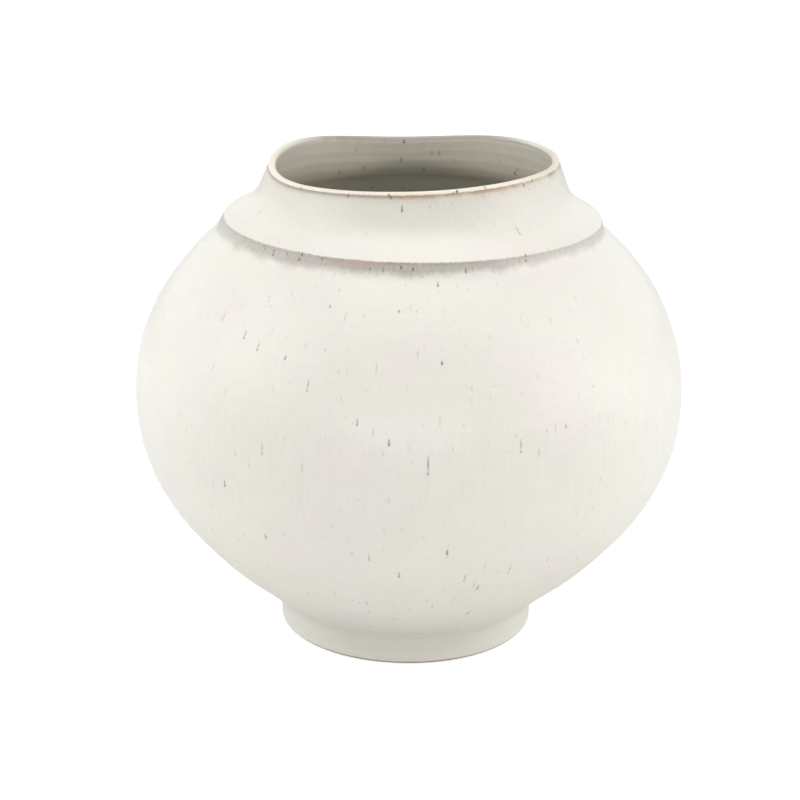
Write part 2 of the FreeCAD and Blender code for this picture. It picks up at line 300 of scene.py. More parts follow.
def round_corner(first, second, reach, segments):
    """Two lines that meet, with their corner rounded over a reach on either side."""
    corner = first[-1]
    first = [p for p in first if (p - corner).length > reach]
    second = [p for p in second if (p - corner).length > reach]
    a, b = first[-1], second[0]
    bend = interpolate_bezier(a, a.lerp(corner, 0.6), b.lerp(corner, 0.6), b, segments + 1)
    return first + bend[1:-1] + second


def set_in(line, first, last):
    """The line moved in, square to itself, by a depth that changes steadily from first to last."""
    moved = []
    for i, point in enumerate(line):
        run = (line[min(i + 1, len(line) - 1)] - line[max(i - 1, 0)]).normalized()
        depth = first + (last - first) * i / (len(line) - 1)
        moved.append(point + Vector((-run.z, 0, run.x)) * depth)
    return moved


def bowl_base(s):
    """Height at which the bowl starts, on the slip over the foot ring."""
    return s.foot_height + s.slip


def shaped(start, end, rise_shares, reach_shares):
    """Points from start to end; each in between has its share of the whole rise and of the whole reach."""
    span = end - start
    between = [at(span.x * reach, span.z * rise) for rise, reach in zip(rise_shares, reach_shares)]
    return [start] + [start + step for step in between + [span]]


def lower_outline(s, spacing):
    """Outside of the lower bowl's coat, from the foot to the belly."""
    points = shaped(at(s.foot_top_diameter / 2, bowl_base(s)), at(s.belly_diameter / 2, s.belly_height),
                    lower_rise_shares, lower_reach_shares)
    return smooth_line(points, spacing, (points[1] - points[0]).normalized(), at(0, 1))


def upper_outline(s, spacing):
    """Outside of the upper bowl's coat, from the belly to the shoulder."""
    points = shaped(at(s.belly_diameter / 2, s.belly_height + s.slip),
                    at(s.band_foot_diameter / 2, s.shoulder_height), upper_rise_shares, upper_drop_shares)
    return smooth_line(points, spacing, at(0, 1), (points[-1] - points[-2]).normalized())


def collar_outline(s, spacing):
    """Outside of the collar's coat from the band's crisp edge up to the lip, before its wave and lean."""
    points = shaped(at(s.band_top_diameter / 2, s.shoulder_height + s.slip + s.band_height),
                    at(s.mouth_diameter / 2 + s.lip_thickness,
                       s.shoulder_height + s.collar_height - s.lip_thickness / 2),
                    collar_rise_shares, collar_reach_shares)
    return smooth_line(points, spacing)


def picked(line, count):
    """A few points of a fine line, its ends among them."""
    return [line[round(i * (len(line) - 1) / (count - 1))] for i in range(count)]


def band_slope(s):
    """Length of the edge band from its foot to its crisp edge."""
    return math.hypot((s.band_foot_diameter - s.band_top_diameter) / 2, s.band_height)


def body_line(s):
    """Outside of the body's coat, from the bare strip at the foot up to the band."""
    low = at(s.foot_bottom_diameter / 2
             + (s.foot_top_diameter - s.foot_bottom_diameter) / 2 * s.bare_foot / bowl_base(s), s.bare_foot)
    foot = straight(low, at(s.foot_top_diameter / 2, bowl_base(s)), foot_spacing)
    foot[0] = low + at(-foot_tuck, 0)
    line = round_corner(foot, lower_outline(s, bowl_spacing), foot_corner, 9) + upper_outline(s, bowl_spacing)
    # The cove at the band: the shoulder turns up into it over a few millimetres
    band_foot = at(s.band_foot_diameter / 2, s.shoulder_height + s.slip)
    band_edge = at(s.band_top_diameter / 2, s.shoulder_height + s.slip + s.band_height)
    line = [p for p in line if p.z < s.shoulder_height - cove_height]
    last, run = line[-1], (line[-1] - line[-2]).normalized()
    reach = (band_foot - last).length
    up = (band_edge - band_foot).normalized()
    return line + interpolate_bezier(last, last + run * reach * 0.4, band_foot - up * reach * 0.4, band_foot, 7)[1:]


def collar_line(s):
    """Outside, lip and inside of the collar's coat, before its wave and lean."""
    base = s.shoulder_height + s.slip
    edge = at(s.band_top_diameter / 2, base + s.band_height)
    band = straight(at(s.band_foot_diameter / 2, base), edge, band_spacing)
    line = round_corner(band, collar_outline(s, collar_spacing), edge_corner, 4)
    half = s.lip_thickness / 2
    middle = at(s.mouth_diameter / 2 + half, s.shoulder_height + s.collar_height - half)
    line += [middle + at(math.cos(a) * half, math.sin(a) * half)
             for a in (math.pi * i / 14 for i in range(1, 14))]
    # The clay's inside runs from its seat up to the lip, and the coat lies on that line
    wall = picked(set_in(collar_outline(s, finest_spacing), s.coat + s.collar_wall, s.lip_thickness - s.lining),
                  wall_points)
    wall[-1] = at(s.mouth_diameter / 2 + s.lining, middle.z)
    seat = at(s.band_foot_diameter / 2 - s.coat - s.seat_width - s.joint_fill, base)
    inside = set_in(smooth_line([seat] + wall[2:], inside_spacing), s.lining, s.lining)
    inside[0], inside[-1] = at(seat.x - s.lining, base), at(s.mouth_diameter / 2, middle.z)
    return line + inside[::-1]


def lining_line(s):
    """Inside of the glazed bowls, from the middle of the floor up to the collar."""
    floor = bowl_base(s) + s.floor_thickness + s.lining
    glazed = s.coat + s.lining
    lower = set_in(lower_outline(s, fine_spacing), s.root_wall + glazed, s.belly_wall + glazed)
    upper = set_in(upper_outline(s, fine_spacing), s.belly_wall + glazed, s.seat_width + glazed)
    points = [at(0, floor), at(s.floor_radius, floor + s.floor_rise)] + picked(lower, wall_points)[2:]
    line = smooth_line(points, lining_spacing, at(1, 0), at(0, 1))
    points = picked(upper, wall_points)
    points[-1] = at(s.band_foot_diameter / 2 - s.coat - s.seat_width - s.lining - s.joint_fill,
                    s.shoulder_height + s.slip)
    return line + smooth_line(points, lining_spacing, at(0, 1))


def turned(line, back, steps):
    """A coat turned round the jar's axis: its outer line, closed by a line against the clay.

    Each vertex keeps how far along the outer line it lies, in millimetres, or -1 on the clay's side.
    """
    bm = bmesh.new()
    along = bm.verts.layers.float.new("along")
    run = 0
    ring = []
    for i, point in enumerate(line):
        run += (point - line[i - 1]).length / mm if i else 0
        ring.append(bm.verts.new(point))
        ring[-1][along] = run
    for point in back:
        ring.append(bm.verts.new(point))
        ring[-1][along] = -1
    for a, b in zip(ring, ring[1:]):
        bm.edges.new((a, b))
    if ring[0].co.x > 0:
        bm.edges.new((ring[-1], ring[0]))
    # One slice is spun, then doubled up to the whole round, which is far quicker than spinning it all
    bmesh.ops.spin(bm, geom=bm.verts[:] + bm.edges[:], cent=(0, 0, 0), axis=(0, 0, 1), angle=math.tau / slices,
                   steps=steps // slices)
    held = 1
    while held < slices:
        copy = bmesh.ops.duplicate(bm, geom=bm.verts[:] + bm.edges[:] + bm.faces[:])["geom"]
        bmesh.ops.rotate(bm, verts=[part for part in copy if isinstance(part, bmesh.types.BMVert)],
                         cent=(0, 0, 0), matrix=Matrix.Rotation(math.tau * held / slices, 3, "Z"))
        held *= 2
    bmesh.ops.remove_doubles(bm, verts=bm.verts, dist=weld_distance)
    bmesh.ops.recalc_face_normals(bm, faces=bm.faces)
    bm.normal_update()
    return bm, along


def around(angle, reach, height=0):
    """A place for the noise that comes back on itself once round the jar."""
    return Vector((math.cos(angle) * reach, math.sin(angle) * reach, height))


def near(value, middle, width):
    """1 at the middle, falling softly to 0 over the width on either side."""
    share = max(0, 1 - abs(value - middle) / width)
    return share * share * (3 - 2 * share)


def piece(context, bm, name, finish, node):
    """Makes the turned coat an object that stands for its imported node."""
    for face in bm.faces:
        face.smooth = True
    mesh = bpy.data.meshes.new(name)
    bm.to_mesh(mesh)
    bm.free()
    mesh.set_sharp_from_angle(angle=sharp_angle)
    mesh.materials.append(finish)
    made = bpy.data.objects.new(name, mesh)
    context.scene.collection.objects.link(made)
    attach(made, "root")
    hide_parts(node)


def camera_axes():
    """Right, up and forward of the photograph's camera."""
    p, t, r = camera_pan, camera_pitch, camera_roll
    forward = Vector((math.cos(t) * math.sin(p), math.cos(t) * math.cos(p), -math.sin(t)))
    level = Vector((math.cos(p), -math.sin(p), 0))
    steep = Vector((math.sin(t) * math.sin(p), math.sin(t) * math.cos(p), math.cos(t)))
    return level * math.cos(r) + steep * math.sin(r), steep * math.cos(r) - level * math.sin(r), forward


def found_marks(bm, marks):
    """Where the photograph's marks lie on the turned mesh: place, axes across, up and out, length and strength."""
    tree = BVHTree.FromBMesh(bm)
    right, up, forward = camera_axes()
    found = []
    for x, y, length, strength in marks:
        sight = (right * (x - image_width / 2) - up * (y - image_width / 2) + forward * focal_pixels).normalized()
        place, normal, _, distance = tree.ray_cast(camera_place, sight)
        if place is None:
            raise RuntimeError("the mark at pixel %d, %d misses the jar" % (x, y))
        across = Vector((-place.y, place.x, 0)).normalized()
        rise = normal.cross(across).normalized()
        if rise.z < 0:
            rise, across = -rise, -across
        seen = (rise - sight * rise.dot(sight)).length
        found.append((place, Matrix((across, rise, normal)).transposed(),
                      length * distance / focal_pixels / max(seen, 0.4), strength))
    return found


def add(tree, kind, inputs=None, out=0, **settings):
    """Adds a node and gives one of its outputs; each input is a value or the output that feeds it."""
    node = tree.nodes.new("ShaderNode" + kind)
    for name, value in settings.items():
        setattr(node, name, value)
    for name, value in (inputs or {}).items():
        if isinstance(value, bpy.types.NodeSocket):
            tree.links.new(value, node.inputs[name])
        else:
            node.inputs[name].default_value = value
    return node.outputs[out] if node.outputs else None


def new_material(name):
    material = bpy.data.materials.new(name)
    material.use_nodes = True
    material.node_tree.nodes.clear()
    return material, material.node_tree


def close_material(tree, colour, roughness, bump, specular=0.5, coat=0.6):
    surface = add(tree, "BsdfPrincipled", {
        "Base Color": colour, "Roughness": roughness, "Normal": bump, "Specular IOR Level": specular,
        "Coat Weight": coat, "Coat Roughness": 0.3, "Coat IOR": 1.5})
    add(tree, "OutputMaterial", {"Surface": surface})


def place_in_mm(tree):
    return add(tree, "VectorMath", {0: add(tree, "TexCoord", out="Object"), "Scale": 1 / mm}, operation="SCALE")


def axis_distance(tree, place):
    level = add(tree, "VectorMath", {0: place, 1: (1, 1, 0)}, operation="MULTIPLY")
    return add(tree, "VectorMath", {0: level}, "Value", operation="LENGTH")


def unrolled(tree, belly_radius):
    """Where a point lies on the jar and on its unrolled surface."""
    place = place_in_mm(tree)
    parts = add(tree, "SeparateXYZ", {0: place}).node.outputs
    front = add(tree, "Math", {0: parts["Y"], 1: -1}, operation="MULTIPLY")
    # The angle is 0 at the front and jumps at the back, where no mark crosses it
    angle = add(tree, "Math", {0: parts["X"], 1: front}, operation="ARCTAN2")
    return Unrolled(
        place=place,
        side=parts["X"],
        aside=add(tree, "Math", {0: angle}, operation="ABSOLUTE"),
        round_way=add(tree, "Math", {0: angle, 1: belly_radius}, operation="MULTIPLY"),
        along=add(tree, "Attribute", out="Fac", attribute_name="along"),
        stretch=add(tree, "Math", {0: axis_distance(tree, place), 1: belly_radius}, operation="DIVIDE"))


def clouds(tree, place, size, detail, low, high, shift=0):
    """Soft noise with clouds of a size in mm, stretched to run from 0 at low to 1 at high."""
    moved = add(tree, "VectorMath", {0: place, 1: (shift, shift, shift)}, operation="ADD")
    grain = add(tree, "TexNoise", {"Vector": moved, "Scale": 1 / size, "Detail": detail, "Roughness": 0.55}, "Fac")
    return add(tree, "MapRange", {0: grain, 1: low, 2: high})


def streaks(tree, place, width, length, detail, low, high, shift=0):
    """Noise drawn out along the meridians: its grain has a width and a length in mm."""
    drawn = add(tree, "VectorMath", {0: place, 1: (1, 1, width / length)}, operation="MULTIPLY")
    return clouds(tree, drawn, width, detail, low, high, shift)


def strewn_specks(tree, jar, specks, shown=1):
    """Iron specks strewn over the unrolled jar, each a drop with its tail up, in the share that is shown."""
    (cell_round, cell_along), width, length, filled, shift, strength = specks
    flat = add(tree, "CombineXYZ", {
        "X": add(tree, "Math", {0: jar.round_way, 1: 1 / cell_round, 2: shift}, operation="MULTIPLY_ADD"),
        "Y": add(tree, "Math", {0: jar.along, 1: 1 / cell_along, 2: shift}, operation="MULTIPLY_ADD")})
    cells = add(tree, "TexVoronoi", {"Vector": flat, "Scale": 1, "Randomness": 1},
                voronoi_dimensions="2D").node.outputs
    off = add(tree, "VectorMath", {0: flat, 1: cells["Position"]}, operation="SUBTRACT")
    off = add(tree, "SeparateXYZ", {0: off}).node.outputs
    chance = add(tree, "SeparateColor", {0: cells["Color"]}).node.outputs
    reach = add(tree, "MapRange", {0: chance["Green"], 3: 0.35 * length, 4: length})
    rise = add(tree, "Math", {0: off["Y"], 1: cell_along}, operation="MULTIPLY")
    rise = add(tree, "Math", {0: rise, 1: reach}, operation="DIVIDE")
    # The drop narrows as it rises
    narrow = add(tree, "Math", {0: rise, 1: -0.45 * width, 2: width}, operation="MULTIPLY_ADD")
    across = add(tree, "Math", {0: off["X"], 1: cell_round}, operation="MULTIPLY")
    across = add(tree, "Math", {0: across, 1: jar.stretch}, operation="MULTIPLY")
    across = add(tree, "Math", {0: across, 1: narrow}, operation="DIVIDE")
    far = add(tree, "VectorMath", {0: add(tree, "CombineXYZ", {"X": across, "Y": rise})}, "Value",
              operation="LENGTH")
    drop = add(tree, "MapRange", {0: far, 1: 1, 2: 0.1}, **softly)
    for share in (add(tree, "Math", {0: chance["Red"], 1: filled}, operation="LESS_THAN"),
                  add(tree, "MapRange", {0: chance["Blue"], 3: 0.35, 4: 1}), shown, strength):
        drop = add(tree, "Math", {0: drop, 1: share}, operation="MULTIPLY")
    return drop


def placed_marks(tree, found, width, heads=False):
    """The photograph's marks as soft drops with a tail up the meridian; a head darkens the stronger specks."""
    coords = add(tree, "TexCoord", out="Object")
    total = 0
    for place, axes, length, strength in found:
        tail_half = max(length / 2, width)
        drops = [(tail_half, width, tail_half - 0.4 * mm, strength * tail_strength)]
        if heads and strength > 0.4:
            drops.append((width * 1.5, width * 1.2, 0, strength * head_strength))
        for half, wide, raised, weight in drops:
            local = add(tree, "Mapping", {
                0: coords, "Location": place + axes.col[1] * raised, "Rotation": axes.to_euler(),
                "Scale": (wide, half, mark_depth)}, vector_type="TEXTURE")
            drop = add(tree, "TexGradient", {0: local}, "Fac", gradient_type="SPHERICAL")
            total = add(tree, "Math", {0: drop, 1: weight, 2: total}, operation="MULTIPLY_ADD")
    return add(tree, "Math", {0: total, 1: 1}, operation="MINIMUM")


def cream_ground(tree, place, colours):
    """The glaze's ground: four creams in slow clouds a few centimetres wide, and faint hairlines down the jar."""
    ground = colours.cream
    for tint, size, low, high, shift in ((colours.yellow_cream, 55, 0.42, 0.62, 0),
                                         (colours.rose_cream, 42, 0.50, 0.66, 300),
                                         (colours.green_cream, 48, 0.52, 0.68, 700)):
        ground = add(tree, "Mix", {0: clouds(tree, place, size, 2, low, high, shift), 6: ground, 7: tint},
                     **of_colours)
    for share, shade in ((streaks(tree, place, 1.3, 36, 2, 0.42, 0.78, 40), hairline_shade),
                         (clouds(tree, place, 9, 3, 0.35, 0.7, 90), mist_shade)):
        ground = add(tree, "Mix", {0: share, 6: ground, 7: shade}, **as_shade)
    return ground


def worn_band(tree, jar, below, colours):
    """Share and colour of the thin grey glaze, by the distance in mm below the band's crisp edge."""
    striae = streaks(tree, jar.place, 0.9, 9, 2, 0.3, 0.7, 500)
    patches = clouds(tree, jar.place, 12, 2, 0.36, 0.64, 210)
    # It reaches furthest down in front and on the left, and is faintest at the sides
    reach = add(tree, "MapRange", {0: jar.side, 1: -45, 2: 70, 3: 6.6, 4: 4.8})
    for pattern, depth in ((striae, 0.6), (patches, 2.6)):
        reach = add(tree, "Math", {0: pattern, 1: depth, 2: reach}, operation="MULTIPLY_ADD")
    share = add(tree, "Math", {0: below, 1: reach}, operation="DIVIDE")
    share = add(tree, "MapRange", {0: share, 1: 1.05, 2: 0.4}, **softly)
    off = add(tree, "Math", {0: jar.side, 1: 18}, operation="ADD")
    off = add(tree, "Math", {0: off}, operation="ABSOLUTE")
    strength = add(tree, "MapRange", {0: off, 1: 30, 2: 95, 3: 1.0, 4: 0.62})
    share = add(tree, "Math", {0: share, 1: strength}, operation="MULTIPLY")
    tints = clouds(tree, jar.place, 9, 1, 0.42, 0.58, 990)
    colour = add(tree, "Mix", {0: tints, 6: colours.thin_grey, 7: colours.thin_rose}, **of_colours)
    lines = add(tree, "Mix", {0: striae, 6: (1.1, 1.1, 1.1, 1), 7: (0.9, 0.9, 0.89, 1)}, **of_colours)
    colour = add(tree, "Mix", {0: 1, 6: colour, 7: lines}, **as_shade)
    # Darker in the last millimetre or two under the edge, more in some places
    rim = add(tree, "MapRange", {0: below, 1: 2.4, 2: 0.3}, **softly)
    rim = add(tree, "Math", {0: rim, 1: add(tree, "MapRange", {0: patches, 3: 0.95, 4: 0.4})},
              operation="MULTIPLY")
    return share, add(tree, "Mix", {0: rim, 6: colour, 7: (0.74, 0.73, 0.69, 1)}, **as_shade)


def satin(tree, place):
    """Roughness and skin of the fired glaze: satin, with an orange-peel of a few millimetres."""
    rough = add(tree, "MapRange", {0: clouds(tree, place, 14, 2, 0.3, 0.7, 150), 3: 0.40, 4: 0.50})
    peel = add(tree, "TexNoise", {"Vector": place, "Scale": 1 / 2.6, "Detail": 2}, "Fac")
    return rough, add(tree, "Bump", {"Height": peel, "Strength": 0.12, "Distance": bump_depth})


def body_glaze(colours, specks, radius, length, edge):
    """Feldspar glaze over iron-bearing stoneware, dipped and fired satin: it pools at the foot, thins at the band.

    The belly's radius, the outline's length and the band's slope are in mm.
    """
    material, tree = new_material("cream_feldspar_glaze_body")
    jar = unrolled(tree, radius)
    colour = cream_ground(tree, jar.place, colours)
    # Pool at the foot, greyer where the glaze stands thick: most so in front, less at its lower edge
    foot = add(tree, "MapRange", {0: jar.along, 1: 14, 2: 40, 3: 1, 4: 0}, **softly)
    for share in (add(tree, "MapRange", {0: jar.aside, 1: 0.3, 2: 1.1, 3: 0.85, 4: 0.3}, **softly),
                  add(tree, "MapRange", {0: jar.along, 1: 1.5, 2: 7, 3: 0.25, 4: 1}, **softly)):
        foot = add(tree, "Math", {0: foot, 1: share}, operation="MULTIPLY")
    colour = add(tree, "Mix", {0: foot, 6: colour, 7: colours.pool}, **of_colours)
    wander = add(tree, "Math", {0: clouds(tree, jar.place, 24, 2, 0.3, 0.7, 60), 1: 3, 2: jar.along},
                 operation="MULTIPLY_ADD")
    for height, width, strength in foot_rings:
        ring = add(tree, "Math", {0: wander, 1: height}, operation="SUBTRACT")
        ring = add(tree, "Math", {0: ring}, operation="ABSOLUTE")
        ring = add(tree, "MapRange", {0: ring, 1: width, 2: 0.1, 3: 0, 4: strength}, **softly)
        colour = add(tree, "Mix", {0: ring, 6: colour, 7: (0.8, 0.8, 0.79, 1)}, **as_shade)
    # The thin glaze of the band fades out over the top of the shoulder
    below = add(tree, "Math", {0: length + edge, 1: jar.along}, operation="SUBTRACT")
    share, worn = worn_band(tree, jar, below, colours)
    colour = add(tree, "Mix", {0: share, 6: colour, 7: worn}, **of_colours)
    # Faint specks all over the bowls, and bold ones on the side that the photograph doesn't show
    bowl = add(tree, "MapRange", {0: jar.along, 1: 14, 2: 24})
    unseen = add(tree, "Math", {0: add(tree, "MapRange", {0: jar.aside, 1: 1.25, 2: 1.45}),
                                1: add(tree, "MapRange", {0: jar.aside, 1: 3.12, 2: 3.10})}, operation="MULTIPLY")
    for share in (strewn_specks(tree, jar, faint_specks, bowl), strewn_specks(tree, jar, pepper_specks, bowl),
                  strewn_specks(tree, jar, bold_specks, unseen), placed_marks(tree, specks, speck_width, True)):
        colour = add(tree, "Mix", {0: share, 6: colour, 7: colours.iron}, **of_colours)
    close_material(tree, colour, *satin(tree, jar.place))
    return material


def collar_glaze(colours, marks, radius, edge, crest):
    """The same glaze on the collar: rosy grey on the edge band, broken to rust on its edge and under the lip.

    The belly's radius, the band's slope and the way along the outline to the lip's crest are in mm.
    """
    material, tree = new_material("cream_feldspar_glaze_collar")
    jar = unrolled(tree, radius)
    colour = cream_ground(tree, jar.place, colours)
    # The thin glaze of the band, up to its ragged edge
    ragged = streaks(tree, jar.place, 0.8, 3, 2, 0.3, 0.7, 30)
    below = add(tree, "Math", {0: edge - 0.35, 1: jar.along}, operation="SUBTRACT")
    below = add(tree, "Math", {0: ragged, 1: 0.7, 2: below}, operation="MULTIPLY_ADD")
    share, worn = worn_band(tree, jar, below, colours)
    worn = add(tree, "Mix", {0: placed_marks(tree, marks["blushes"], 3.6 * mm), 6: worn, 7: colours.rose},
               **of_colours)
    rusty = add(tree, "Math", {0: add(tree, "MapRange", {0: below, 1: 1.9, 2: 0.5}, **softly),
                               1: placed_marks(tree, marks["rusts"], 3.4 * mm)}, operation="MULTIPLY")
    worn = add(tree, "Mix", {0: rusty, 6: worn, 7: colours.rust}, **of_colours)
    under = add(tree, "MapRange", {0: below, 1: -0.35, 2: 0.45}, **softly)
    share = add(tree, "Math", {0: share, 1: under}, operation="MULTIPLY")
    colour = add(tree, "Mix", {0: share, 6: colour, 7: worn}, **of_colours)
    # Painted shade on the neck, strongest just under the lip and gone some 22 mm lower, and lighter again on its
    # bead
    wander = add(tree, "Math", {0: ragged, 1: 0.5, 2: jar.along}, operation="MULTIPLY_ADD")
    down = add(tree, "Math", {0: crest - 1.9, 1: wander}, operation="SUBTRACT")
    start = add(tree, "MapRange", {0: down, 1: -0.25, 2: 0.35}, **softly)
    shade = add(tree, "Math", {0: add(tree, "MapRange", {0: down, 1: 22, 2: 0}), 1: start}, operation="MULTIPLY")
    colour = add(tree, "Mix", {0: shade, 6: colour, 7: (0.82, 0.815, 0.785, 1)}, **as_shade)
    # The glaze breaks under the bead: grey-brown on the left, rust on the right, in pieces past the middle
    warm = add(tree, "MapRange", {0: jar.side, 1: -11, 2: -6})
    brown = add(tree, "Mix", {0: warm, 6: colours.edge_brown, 7: colours.rust}, **of_colours)
    broken = add(tree, "MapRange", {0: clouds(tree, jar.place, 12, 3, 0.4, 0.6, 640), 3: 0.3, 4: 1})
    broken = add(tree, "Math", {0: broken, 1: add(tree, "MapRange", {0: jar.side, 1: 17, 2: 9})},
                 operation="MAXIMUM")
    for width, strength in ((2.3, 0.84), (4.8, 0.26)):
        line = add(tree, "MapRange", {0: down, 1: width, 2: 0.4, 3: 0, 4: strength}, **softly)
        for share in (start, broken):
            line = add(tree, "Math", {0: line, 1: share}, operation="MULTIPLY")
        colour = add(tree, "Mix", {0: line, 6: colour, 7: brown}, **of_colours)
    # The bead itself is thick and warm in front, and greener at its right end
    deep = add(tree, "Math", {0: jar.along, 1: crest}, operation="SUBTRACT")
    off = add(tree, "Math", {0: deep}, operation="ABSOLUTE")
    bead = add(tree, "Math", {0: add(tree, "MapRange", {0: off, 1: 2.4, 2: 1.6}, **softly),
                              1: add(tree, "MapRange", {0: jar.aside, 1: 2.2, 2: 1.7, 3: 0, 4: 0.75})},
               operation="MULTIPLY")
    end = add(tree, "MapRange", {0: jar.side, 1: 44, 2: 61})
    colour = add(tree, "Mix", {0: bead, 6: colour, 7: add(
        tree, "Mix", {0: end, 6: colours.bead, 7: colours.bead_end}, **of_colours)}, **of_colours)
    # Inside, painted light and shade: the upper inside wall is painted a little lighter, and deeper down painted
    # shade stands for the front rim's shadow, sooner at the back, later on the left
    lower = deep
    for further in (add(tree, "MapRange", {0: jar.aside, 1: 2.4, 2: 3.1, 3: 0, 4: 9}, **softly),
                    add(tree, "MapRange", {0: jar.side, 1: -5, 2: -35, 3: 0, 4: -4})):
        lower = add(tree, "Math", {0: lower, 1: further}, operation="ADD")
    thin = add(tree, "MapRange", {0: lower, 1: 18, 2: 35}, **softly)
    # Painted light above 1 on the upper wall, painted shade further down
    inner_light_and_shade = add(tree, "Mix", {0: thin, 6: (1.13, 1.12, 1.08, 1), 7: deep_shade}, **of_colours)
    within = add(tree, "MapRange", {0: deep, 1: 1.8, 2: 3.6}, **softly)
    colour = add(tree, "Mix", {0: within, 6: colour, 7: inner_light_and_shade}, **as_shade)
    # On the right the lip's inner edge shows as a fine brown line
    inner = add(tree, "Math", {0: deep, 1: 2.7}, operation="SUBTRACT")
    inner = add(tree, "Math", {0: inner}, operation="ABSOLUTE")
    inner = add(tree, "Math", {0: add(tree, "MapRange", {0: inner, 1: 0.8, 2: 0.2, 3: 0, 4: 0.5}),
                               1: add(tree, "MapRange", {0: jar.side, 1: 34, 2: 50})}, operation="MULTIPLY")
    # At the back the lip is rubbed bare of all but a grey film
    film = add(tree, "Math", {0: add(tree, "MapRange", {0: off, 1: 3.4, 2: 1.9, 3: 0, 4: 0.9}, **softly),
                              1: add(tree, "MapRange", {0: jar.aside, 1: 2.0, 2: 2.6}, **softly)},
               operation="MULTIPLY")
    for share, tint in ((inner, colours.inner_edge), (film, colours.lip_film),
                        (placed_marks(tree, marks["bares"], 5 * mm), colours.lip_bare),
                        (strewn_specks(tree, jar, collar_faint_specks), colours.iron),
                        (placed_marks(tree, marks["mouth"], 1.2 * mm), colours.mouth_iron),
                        (placed_marks(tree, marks["specks"], speck_width, True), colours.iron)):
        colour = add(tree, "Mix", {0: share, 6: colour, 7: tint}, **of_colours)
    close_material(tree, colour, *satin(tree, jar.place))
    return material


def lining_glaze(colours, radius, whole):
    """The same glaze inside the bowls, with painted shade darkening it towards the collar. The outline's whole
    length is in mm.
    """
    material, tree = new_material("cream_feldspar_glaze_lining")
    jar = unrolled(tree, radius)
    colour = cream_ground(tree, jar.place, colours)
    # Painted shade over the last 40 mm below the collar, meeting the collar's painted shade at the joint
    thin = add(tree, "MapRange", {0: jar.along, 1: whole - 40, 2: whole})
    colour = add(tree, "Mix", {0: thin, 6: colour, 7: deep_shade}, **as_shade)
    colour = add(tree, "Mix", {0: strewn_specks(tree, jar, lining_specks), 6: colour, 7: colours.iron},
                 **of_colours)
    close_material(tree, colour, *satin(tree, jar.place))
    return material


def bare_clay(colours):
    """Stoneware clay turned and fired bare: dry, sandy and toasted at the edge of the glaze."""
    material, tree = new_material("bare_stoneware")
    place = place_in_mm(tree)
    grain = clouds(tree, place, 1.1, 3, 0.3, 0.7)
    toast = add(tree, "Math", {0: clouds(tree, place, 12, 2, 0.4, 0.65, 50), 1: 0.7}, operation="MULTIPLY")
    colour = add(tree, "Mix", {0: grain, 6: colours.clay, 7: colours.sand}, **of_colours)
    colour = add(tree, "Mix", {0: toast, 6: colour, 7: colours.flash}, **of_colours)
    rings = add(tree, "Math", {0: axis_distance(tree, place), 1: math.tau / 1.4}, operation="MULTIPLY")
    rings = add(tree, "Math", {0: rings}, operation="SINE")
    height = add(tree, "Math", {0: rings, 1: 0.5, 2: grain}, operation="MULTIPLY_ADD")
    bump = add(tree, "Bump", {"Height": height, "Strength": 0.5, "Distance": bump_depth})
    close_material(tree, colour, 0.9, bump, specular=0.3, coat=0)
    return material


def joint_slip(colours):
    """Clay slip in the joints, fired with the jar: smoother and a little darker than the clay."""
    material, tree = new_material("fired_slip")
    grain = clouds(tree, place_in_mm(tree), 2.5, 3, 0.3, 0.7)
    colour = add(tree, "Mix", {0: grain, 6: colours.slip_light, 7: colours.slip_dark}, **of_colours)
    bump = add(tree, "Bump", {"Height": grain, "Strength": 0.3, "Distance": bump_depth})
    close_material(tree, colour, 0.85, bump, specular=0.3, coat=0)
    return material


def line_length(line):
    """Length of a line, in mm."""
    return sum((b - a).length for a, b in zip(line, line[1:])) / mm


def press(bm, along, depth_at):
    """Moves each outer vertex out by a depth that follows from its way along, its angle and its height, in mm."""
    for vertex in bm.verts:
        run = vertex[along]
        if run >= 0:
            angle = math.atan2(vertex.co.y, vertex.co.x)
            vertex.co += vertex.normal * depth_at(run, angle, vertex.co.z / mm) * mm


class JAR_OT_body_coat(bpy.types.Operator):
    """Turns the coat of glaze on the foot and the two bowls"""
    bl_idname = "jar.body_coat"
    bl_label = "Body coat"

    def execute(self, context):
        s = context.scene.jar_sizes
        line = body_line(s)
        length = line_length(line)
        bm, along = turned(line, set_in(line, s.coat, s.coat)[::-back_step], body_steps)

        def depth_at(run, angle, level):
            # Slow lumps from the hands, faint throwing rings, and turning lines on the foot
            depth = -sunk + lump_depth * noise.noise(around(angle, 1.6, level / lump_height))
            depth += ring_depth * math.sin(
                math.tau * run / ring_pitch + 2 * noise.noise(around(angle, 0.8, level / 90)))
            depth += turning_depth * near(run, 6, 7) * math.sin(math.tau * run / turning_pitch)
            depth *= near(run, length / 2, length / 2 + 4) ** 0.25
            # The shoulder is a little fuller on the right
            return depth + fuller_depth * max(0, math.cos(angle)) ** 2 * near(level, fuller_height, 34)

        press(bm, along, depth_at)
        finish = body_glaze(context.scene.jar_colours, found_marks(bm, body_specks),
                            s.belly_diameter / 2 / mm, length, band_slope(s) / mm)
        piece(context, bm, "body_coat", finish, "body_glaze")
        return {"FINISHED"}


